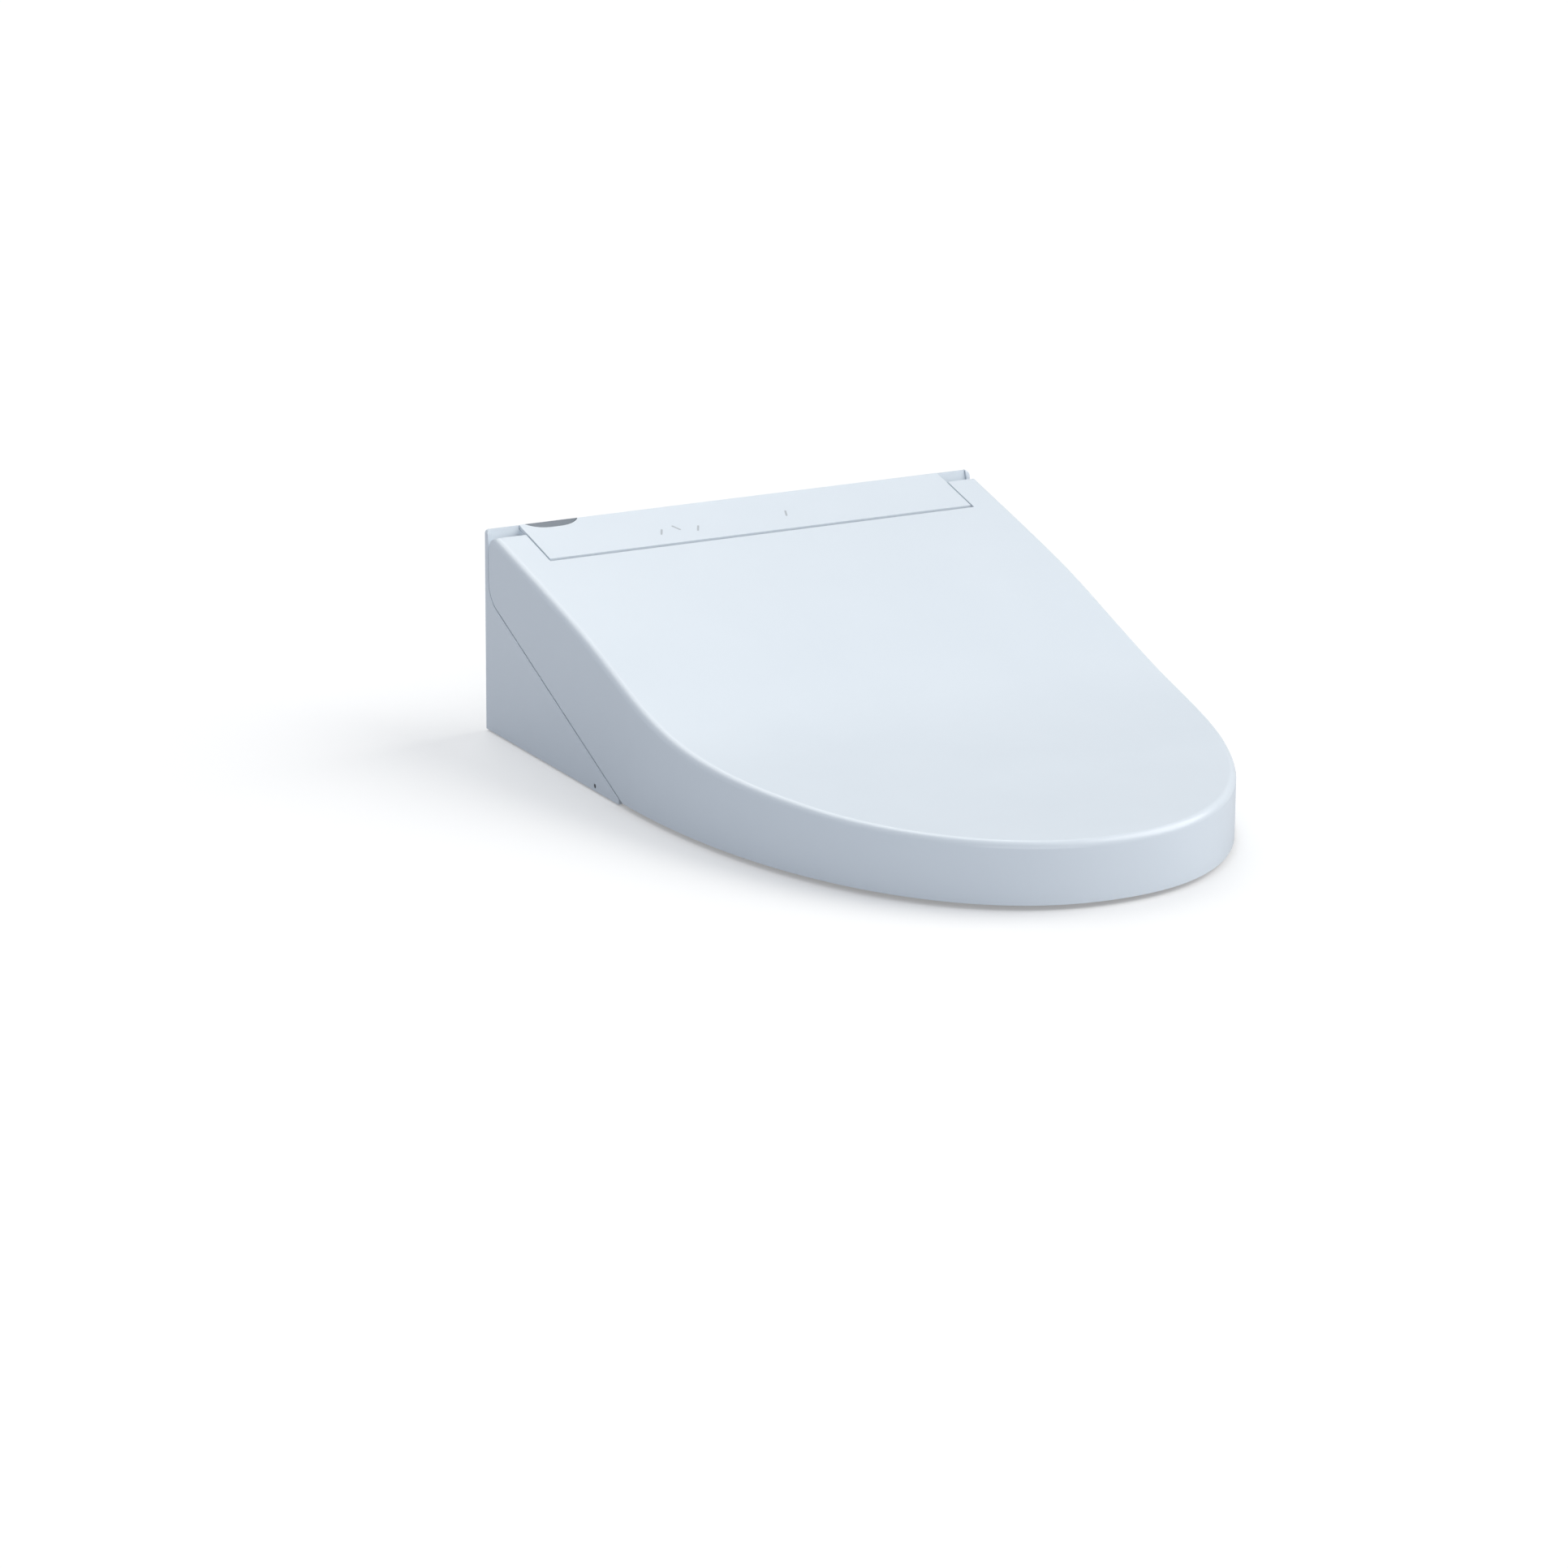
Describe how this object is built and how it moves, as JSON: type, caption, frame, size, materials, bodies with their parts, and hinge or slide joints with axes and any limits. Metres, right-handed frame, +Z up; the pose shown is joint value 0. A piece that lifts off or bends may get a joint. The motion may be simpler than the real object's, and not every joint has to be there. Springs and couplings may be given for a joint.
{
  "type": "electric bidet seat",
  "caption": "Electric bidet toilet seat with a closing lid, heated seat ring, sliding spray wand and warm air outlet on a wedge-shaped main unit that slides onto a bolted plate.",
  "frame": {"origin": "midway between the two fixing bolts, on the underside of the mounting plate, which lies on the toilet bowl's deck in the plane of its rim", "axes": "+X to the right seen from the front, -Y towards the front of the seat, +Z up"},
  "size_m": [0.383, 0.536, 0.2056],
  "materials": {
    "white_plastic": "smooth glossy cool white",
    "grey_plastic": "moulded grey",
    "dark_plastic": "moulded black",
    "smoked_window": "polished smoked grey",
    "rubber": "soft grey",
    "steel": "brushed stainless",
    "heater_foil": "thin foil",
    "circuit_board": "green lacquered board",
    "carbon": "porous black foam"
  },
  "bodies": {
    "mount": {"mounting_plate": "grey_plastic", "fixing_bolt_left": "steel", "fixing_bolt_right": "steel", "rubber_bush_left": "rubber", "rubber_bush_right": "rubber", "fixing_nut_left": "grey_plastic", "fixing_nut_right": "grey_plastic"},
    "unit": {"upper_case": "white_plastic", "lower_case": "white_plastic", "side_cover_left": "white_plastic", "side_cover_right": "white_plastic", "top_panel": "white_plastic", "infrared_window": "smoked_window", "soft_close_damper_left": "grey_plastic", "soft_close_damper_right": "grey_plastic", "hinge_pin_left": "steel", "hinge_pin_right": "steel", "nozzle_guide": "grey_plastic", "nozzle_motor": "steel", "water_inlet": "steel", "inlet_strainer": "dark_plastic", "solenoid_valve": "dark_plastic", "flow_valve": "grey_plastic", "inlet_hose": "rubber", "tank_hose": "rubber", "water_heater_tank": "grey_plastic", "drain_plug": "grey_plastic", "dryer_housing": "white_plastic", "dryer_motor": "steel", "dryer_heater": "heater_foil", "deodoriser_housing": "white_plastic", "carbon_filter": "carbon", "control_board": "circuit_board", "power_board": "circuit_board", "cord_gland": "dark_plastic", "case_screw_rear_left": "steel", "case_screw_rear_right": "steel", "case_screw_front_left": "steel", "case_screw_front_right": "steel"},
    "seat": {"seat_upper_shell": "white_plastic", "seat_lower_shell": "white_plastic", "seat_heater_sheet": "heater_foil", "seat_bumper_front_left": "rubber", "seat_bumper_front_right": "rubber", "seat_bumper_rear_left": "rubber", "seat_bumper_rear_right": "rubber"},
    "lid": {"lid": "white_plastic", "lid_bumper_left": "rubber", "lid_bumper_right": "rubber"},
    "wand": {"nozzle_wand": "steel", "nozzle_tip": "white_plastic", "nozzle_rack": "dark_plastic"},
    "pinion": {"nozzle_pinion": "dark_plastic"},
    "shutter": {"nozzle_shutter": "white_plastic"},
    "flap": {"air_flap": "white_plastic"},
    "impeller": {"dryer_impeller": "dark_plastic"},
    "fan": {"deodoriser_fan": "dark_plastic"},
    "button": {"release_button": "white_plastic"}
  },
  "joints": [
    {"name": "unit_slide", "type": "slide", "parent": "mount", "child": "unit", "axis": [0, -1, 0], "range_m": [0, 0.05]},
    {"name": "seat_hinge", "type": "hinge", "parent": "unit", "child": "seat", "pos_m": [0, 0.042, 0.128], "axis": [-1, 0, 0], "range_deg": [0, 105]},
    {"name": "lid_hinge", "type": "hinge", "parent": "seat", "child": "lid", "pos_m": [0, 0.042, 0.128], "axis": [1, 0, 0], "range_deg": [-110, 0]},
    {"name": "wand_slide", "type": "slide", "parent": "unit", "child": "wand", "axis": [0, -0.788, -0.6157], "range_m": [0, 0.1]},
    {"name": "pinion_spin", "type": "hinge", "parent": "unit", "child": "pinion", "pos_m": [0.0088, -0.09187, 0.04158], "axis": [-1, 0, 0], "range_deg": [0, 716.2]},
    {"name": "shutter_hinge", "type": "hinge", "parent": "unit", "child": "shutter", "pos_m": [0, -0.12075, 0.0255], "axis": [-1, 0, 0], "range_deg": [0, 60], "stiffness_Nm_per_rad": 0.01, "springref_deg": -28.65},
    {"name": "flap_hinge", "type": "hinge", "parent": "unit", "child": "flap", "pos_m": [0.062, -0.12075, 0.0255], "axis": [-1, 0, 0], "range_deg": [0, 60], "stiffness_Nm_per_rad": 0.01, "springref_deg": -28.65},
    {"name": "impeller_spin", "type": "hinge", "parent": "unit", "child": "impeller", "pos_m": [0.062, -0.026, 0.024], "axis": [0, 0, 1], "continuous": true},
    {"name": "fan_spin", "type": "hinge", "parent": "unit", "child": "fan", "pos_m": [-0.139, -0.048, 0.038], "axis": [1, 0, 0], "continuous": true},
    {"name": "button_press", "type": "slide", "parent": "unit", "child": "button", "axis": [-1, 0, 0], "range_m": [0, 0.003], "stiffness_N_per_m": 800, "springref_m": -0.001}
  ],
  "couplings": [
    {"joint": "pinion_spin", "follows": "wand_slide", "rad_per_m": 125}
  ]
}
